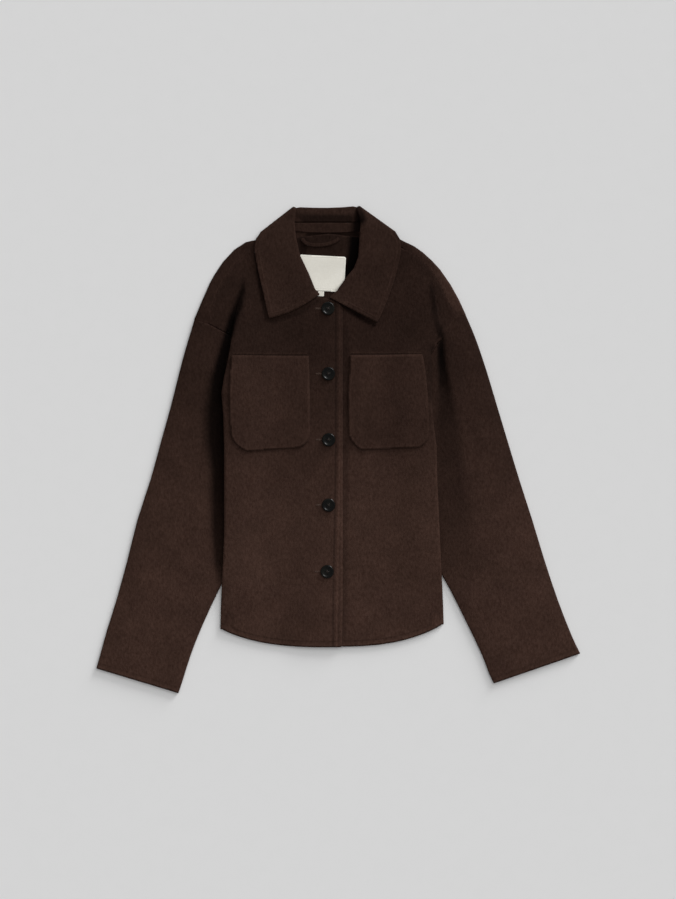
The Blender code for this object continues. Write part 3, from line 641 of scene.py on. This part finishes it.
SLEEVE_LEFT_SHADE = [
    *chain(*ARM_FOLD_SHADE),
    *chain((154.9, 172, 7.5, 0.72), (154.6, 149, 9.5, 0.93), (155.6, 127, 11, 0.9),
           (158.6, 104, 13.5, 0.76),
           (161.6, 74, 18, 0.5), (164.6, 29, 30, 0.4), (167.6, -31, 36, 0.38), (170.6, -91, 45, 0.36),
           (173.6, -151, 50, 0.28), (179.6, -211, 50, 0.05)),
]
sleeve_stored = [("hem", cuff_end), ("seam", high_up)]
panel("sleeve_right", sleeve_wool, SLEEVE_RIGHT_CREASES, SLEEVE_RIGHT_SHADE, sleeve_stored,
      allowance=sleeve_head)
panel("sleeve_left", sleeve_wool, SLEEVE_LEFT_CREASES, SLEEVE_LEFT_SHADE, sleeve_stored,
      allowance=sleeve_head)

# %% [markdown]
# The collar is a stand inside the neck and a fall that turns over it into two leaves.

# %% Collar
def leaf_edge(point):
    return point.z > 3.0 * MM and (point.x < -0.095 or point.x > 0.055 or point.y < 0.215)


# The shade column is painted: a painted highlight on the ridge.
PRESSED_LEAF = [("hem", 0.3, 1.8, -0.5, 0.0), ("hem", 6.5, 2.0, 0.25, 0.14)]
# A darker copy of the wool: painted shade, as higher up on the body.
collar_wool = wool("wool_collar", 0.0, PRESSED_LEAF, painted_light=0.65)
collar_stored = [("hem", leaf_edge)]
FALL_SHADE = [
    *chain((-60, 352, 7, 0.3), (-50, 346.5, 11, 0.6), (16, 346, 11, 0.6)),
    *chain((31, 364, 6, 0.5), (32, 346, 16, 0.85)),
    *chain((-46, 323.5, 5, 0.6), (10, 323.5, 5, 0.6), (28, 323.5, 7, 0.85)),
]
STAND_SHADE = [
    *chain((-58, 334, 14, 0.14), (10, 334, 14, 0.14)),
    *chain((32, 346, 19, 0.85), (32, 322, 20, 0.9)),
]
panel("collar_fall", collar_wool, shade=FALL_SHADE, stored=collar_stored,
      pitch=FINE_PITCH)
panel("collar_stand", collar_wool, shade=STAND_SHADE, stored=collar_stored,
      pitch=FINE_PITCH)

# %% [markdown]
# Patch pockets with chamfered lower corners lie on the fronts.

# %% Pockets
def everywhere(point):
    return True


def nowhere(point):
    return False


# The shade column is painted: a painted highlight on the ridge.
PRESSED_POCKET = [("hem", 0.3, 1.8, -0.6, 0.0), ("hem", 3.0, 2.6, 0.1, 0.12)]
# A darker copy of the wool: painted shade, as on the chest around the pockets.
pocket_wool = wool("wool_pocket", 0.0, PRESSED_POCKET, painted_light=0.75)
for node in ("pocket_right", "pocket_left"):
    panel(node, pocket_wool, stored=[("hem", everywhere)],
          thickness=1.8 * MM)

# %% [markdown]
# Inside the neck are the hanger loop, a tube of the same wool sewn down at its ends,
# and a woven label. It is left bare. A small tab for the size hangs below it.

# %% Loop, label and tab
# A darker copy of the wool: painted shade inside the neck, and painted shade in the trough along its edge.
loop_wool = wool("wool_loop", 0.0, [("hem", 0.2, 1.4, -0.4, -0.2)], painted_light=0.5)
panel("hanger_loop", loop_wool, stored=[("hem", everywhere)],
      pitch=TRIM_PITCH, thickness=1.0 * MM)


def satin(name, pale, deep):
    finish = Finish(name)
    weft = finish.noise(1500.0, 1.0, (0.12, 1.0, 1.0))
    warp = finish.noise(1500.0, 1.0, (1.0, 0.12, 1.0))
    slow = finish.noise(30.0, 2.0)
    # A fold line 3.2 mm inside the edge: a groove, with painted shade that moves its colour towards the
    # deeper satin.
    folded = finish.fade(abs(finish.stored("hem") * PER_MM - 3.2), 0.0, 0.7, 1.0, 0.0)
    height = (weft + warp) * 0.06 - folded * 0.12
    share = finish.fade((weft + warp) * 0.3 + slow * 0.4 - folded * 0.12, 0.25, 0.75)
    colour = finish.times(finish.blend(share, deep, pale), 1.0 - finish.stored("shade"))
    finish.wear(Base_Color=colour, Roughness=0.6, Normal=finish.relief(height, MM))
    finish.wear(Sheen_Weight=0.1, Specular_IOR_Level=0.3)
    return finish.material


label_satin = satin("label_satin", paint(238, 235, 225), paint(228, 224, 213))
LABEL_SHADE = chain((16, 268, 7, 0.3), (12, 248, 9, 0.4), (-2, 238, 7, 0.3))
panel("neck_label", label_satin, shade=LABEL_SHADE, stored=[("hem", everywhere)],
      pitch=2.0 * MM, thickness=0.8 * MM)
tab_satin = satin("tab_satin", paint(228, 224, 214), paint(214, 210, 200))
panel("size_tab", tab_satin, stored=[("hem", nowhere)],
      pitch=TRIM_PITCH, thickness=0.8 * MM)

# %% [markdown]
# The buttons are dark, polished and slightly marbled, with a raised rim, a dished
# middle and four holes. One is turned from its profile, and the holes are cut by a
# boolean. Its thread crosses from hole to hole and holds it on a short shank.

# %% Buttons
def marbled():
    finish = Finish("horn_button")
    cloud = finish.noise(140.0, 4.0, (1.0, 0.5, 1.0), 0.6)
    streak = finish.noise(420.0, 3.0, (0.4, 1.0, 1.0), 0.4)
    share = finish.fade(cloud * 0.7 + streak * 0.3, 0.42, 0.68)
    scuff = finish.noise(2200.0, 2.0)
    finish.wear(Base_Color=finish.blend(share, paint(4, 4, 3.5), paint(17, 17, 13)),
                Roughness=0.24 + scuff * 0.08, Normal=finish.relief(scuff * 0.01, MM))
    finish.wear(Specular_IOR_Level=0.3)
    return finish.material


def thread_finish():
    finish = Finish("button_thread")
    twist = finish.noise(2600.0, 2.0, (1.0, 0.3, 1.0), 0.8)
    finish.wear(Base_Color=finish.blend(twist, paint(20, 15, 13), paint(48, 38, 33)), Roughness=0.7,
                Normal=finish.relief(twist * 0.1, MM))
    return finish.material


# radius and height above the button's underside, from the middle of the back to the middle of the face
BUTTON_PROFILE = [
    (0.0, 0.1), (6.8, 0.0), (8.8, 0.5), (9.7, 1.3), (10.0, 2.2), (9.8, 2.9), (9.2, 3.4), (8.4, 3.6),
    (7.7, 3.4), (7.1, 2.9), (6.4, 2.5), (4.0, 2.3), (0.0, 2.25),
]
HOLES = [(1.9, 1.9), (-1.9, 1.9), (-1.9, -1.9), (1.9, -1.9)]
HOLE_RADIUS = 0.85 * MM


def turned_button():
    bm = bmesh.new()
    line = [bm.verts.new((radius * MM, 0.0, height * MM)) for radius, height in BUTTON_PROFILE]
    edges = [bm.edges.new(pair) for pair in zip(line, line[1:])]
    bmesh.ops.spin(bm, geom=[*line, *edges], cent=(0.0, 0.0, 0.0), axis=(0.0, 0.0, 1.0),
                   angle=math.tau, steps=48, use_merge=True)
    bmesh.ops.remove_doubles(bm, verts=bm.verts, dist=0.002 * MM)
    bmesh.ops.recalc_face_normals(bm, faces=bm.faces)
    return bm


def solid_of(bm, name):
    mesh = bpy.data.meshes.new(name)
    bm.to_mesh(mesh)
    bm.free()
    made = bpy.data.objects.new(name, mesh)
    bpy.context.scene.collection.objects.link(made)
    return made


blank = solid_of(turned_button(), "button_blank")
drill_bm = bmesh.new()
for x, y in HOLES:
    made = bmesh.ops.create_cone(drill_bm, cap_ends=True, segments=16, radius1=HOLE_RADIUS,
                                 radius2=HOLE_RADIUS, depth=9 * MM)
    bmesh.ops.translate(drill_bm, verts=made["verts"], vec=(x * MM, y * MM, 1.5 * MM))
drill = solid_of(drill_bm, "drill")
cut = blank.modifiers.new("holes", "BOOLEAN")
cut.object = drill
cut.solver = "EXACT"
button_mesh = bpy.data.meshes.new_from_object(blank.evaluated_get(bpy.context.evaluated_depsgraph_get()))
bpy.data.objects.remove(blank)
bpy.data.objects.remove(drill)
print("button triangles", sum(len(polygon.vertices) - 2 for polygon in button_mesh.polygons))


# %% Buttons sewn on
horn = marbled()
sewing = thread_finish()
BUTTON_TURNS = [12, -20, 33, 5, -38]
THREAD_HEIGHT = 2.55 * MM


def stitch_bar(bm, start, end, radius):
    way = end - start
    made = bmesh.ops.create_cone(bm, cap_ends=True, segments=8, radius1=radius, radius2=radius,
                                 depth=way.length)
    turn = way.to_track_quat("Z", "Y").to_matrix().to_4x4()
    turn.translation = (start + end) / 2
    bmesh.ops.transform(bm, matrix=turn, verts=made["verts"])


for number, turn in enumerate(BUTTON_TURNS, 1):
    node = f"button_{number}"
    low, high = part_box(node)
    middle = (low + high) / 2
    spun = Matrix.Rotation(math.radians(turn), 4, "Z")
    spun.translation = (middle.x, middle.y, low.z)
    mesh = button_mesh.copy()
    mesh.transform(spun)
    mesh.name = node + "_horn"
    mesh.materials.append(horn)
    for polygon in mesh.polygons:
        polygon.use_smooth = True
    mesh.set_sharp_from_angle(angle=math.radians(40))
    button = bpy.data.objects.new(node + "_horn", mesh)
    bpy.context.scene.collection.objects.link(button)
    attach(button, "root")
    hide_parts(node)
    bm = bmesh.new()
    corners = [spun @ Vector((x * MM, y * MM, THREAD_HEIGHT)) for x, y in HOLES]
    for start, end in ((0, 2), (1, 3)):
        for shift in (-0.28, 0.28):
            side = (corners[end] - corners[start]).cross(Vector((0, 0, 1))).normalized() * shift * MM
            rise = Vector((0, 0, 0.25 * MM * start))
            stitch_bar(bm, corners[start] + side + rise, corners[end] + side + rise, 0.27 * MM)
    for corner in corners:
        stitch_bar(bm, corner - Vector((0, 0, 2.4 * MM)), corner + Vector((0, 0, 0.15 * MM)), 0.45 * MM)
    for face in bm.faces:
        face.smooth = True
    thread = solid_of(bm, node + "_thread")
    thread.data.materials.append(sewing)
    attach(thread, "root")

# %% [markdown]
# Each buttonhole is a slit bound with close stitches. Most of it lies under its button,
# and only the end nearest the body's side shows, as a short, paler dash.

# %% Buttonholes
HOLE_START = -18.5
STITCH_PITCH = 0.8


def binding_finish():
    finish = Finish("buttonhole_thread")
    twist = finish.noise(1800.0, 2.0)
    finish.wear(Base_Color=finish.blend(twist, paint(58, 42, 34), paint(92, 72, 62)), Roughness=0.75,
                Normal=finish.relief(twist * 0.15, MM))
    return finish.material


binding = binding_finish()
cloth_under = BVHTree.FromObject(front_right, bpy.context.evaluated_depsgraph_get())
for number in range(1, 6):
    low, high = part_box(f"button_{number}")
    middle = (low + high) / 2
    bm = bmesh.new()
    for step in range(30):
        x = middle.x + (HOLE_START + step * STITCH_PITCH) * MM
        height = cloth_under.ray_cast(Vector((x, middle.y, ABOVE_ALL)), DOWN)[0].z
        for side in (-1, 1):
            inner = Vector((x, middle.y + side * 0.12 * MM, height + 0.1 * MM))
            outer = Vector((x - 0.1 * MM, middle.y + side * 1.15 * MM, height + 0.02 * MM))
            stitch_bar(bm, inner, outer, 0.3 * MM)
    for face in bm.faces:
        face.smooth = True
    hole = solid_of(bm, f"buttonhole_{number}")
    hole.data.materials.append(binding)
    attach(hole, "root")

# %% [markdown]
# Floor and light. The paper is pale grey; the light is large and soft, from the
# upper right, with an even fill, so the shadows are wide and lie to the left and below.

# %% Floor and light
floor_paper = Finish("paper")
grey = floor_paper.blend(floor_paper.noise(40.0), paint(226, 226, 226), paint(228, 228, 228))
floor_paper.wear(Base_Color=grey, Roughness=0.9)
floor_bm = bmesh.new()
bmesh.ops.create_grid(floor_bm, x_segments=1, y_segments=1, size=4.0)
floor_mesh = bpy.data.meshes.new("floor")
floor_bm.to_mesh(floor_mesh)
floor_bm.free()
floor_mesh.materials.append(floor_paper.material)
floor = bpy.data.objects.new("floor", floor_mesh)
bpy.context.scene.collection.objects.link(floor)

# The top lamp is kept out of glossy reflections, so it does not show in the buttons' polish.
# name, direction that the light comes from, its width in degrees, strength
LAMPS = [
    ("top_softbox", (0.15, 0.2, 1.0), 60, 1.22),
    ("window_high", (0.6, 0.8, 0.9), 35, 0.38),
    ("window_low", (0.6, 0.8, 0.29), 24, 2.25),
]
for name, way, width, strength in LAMPS:
    lamp_data = bpy.data.lights.new(name, "SUN")
    lamp_data.angle = math.radians(width)
    lamp_data.energy = strength
    lamp = bpy.data.objects.new(name, lamp_data)
    lamp.rotation_euler = (-Vector(way)).to_track_quat("-Z", "Y").to_euler()
    lamp.visible_glossy = name != "top_softbox"
    bpy.context.scene.collection.objects.link(lamp)

world = bpy.data.worlds.new("room")
world.use_nodes = True
fill = world.node_tree.nodes["Background"]
fill.inputs[0].default_value = (1.0, 1.0, 1.0, 1.0)
fill.inputs[1].default_value = 0.2
bpy.context.scene.world = world
bpy.context.scene.view_settings.view_transform = "Standard"
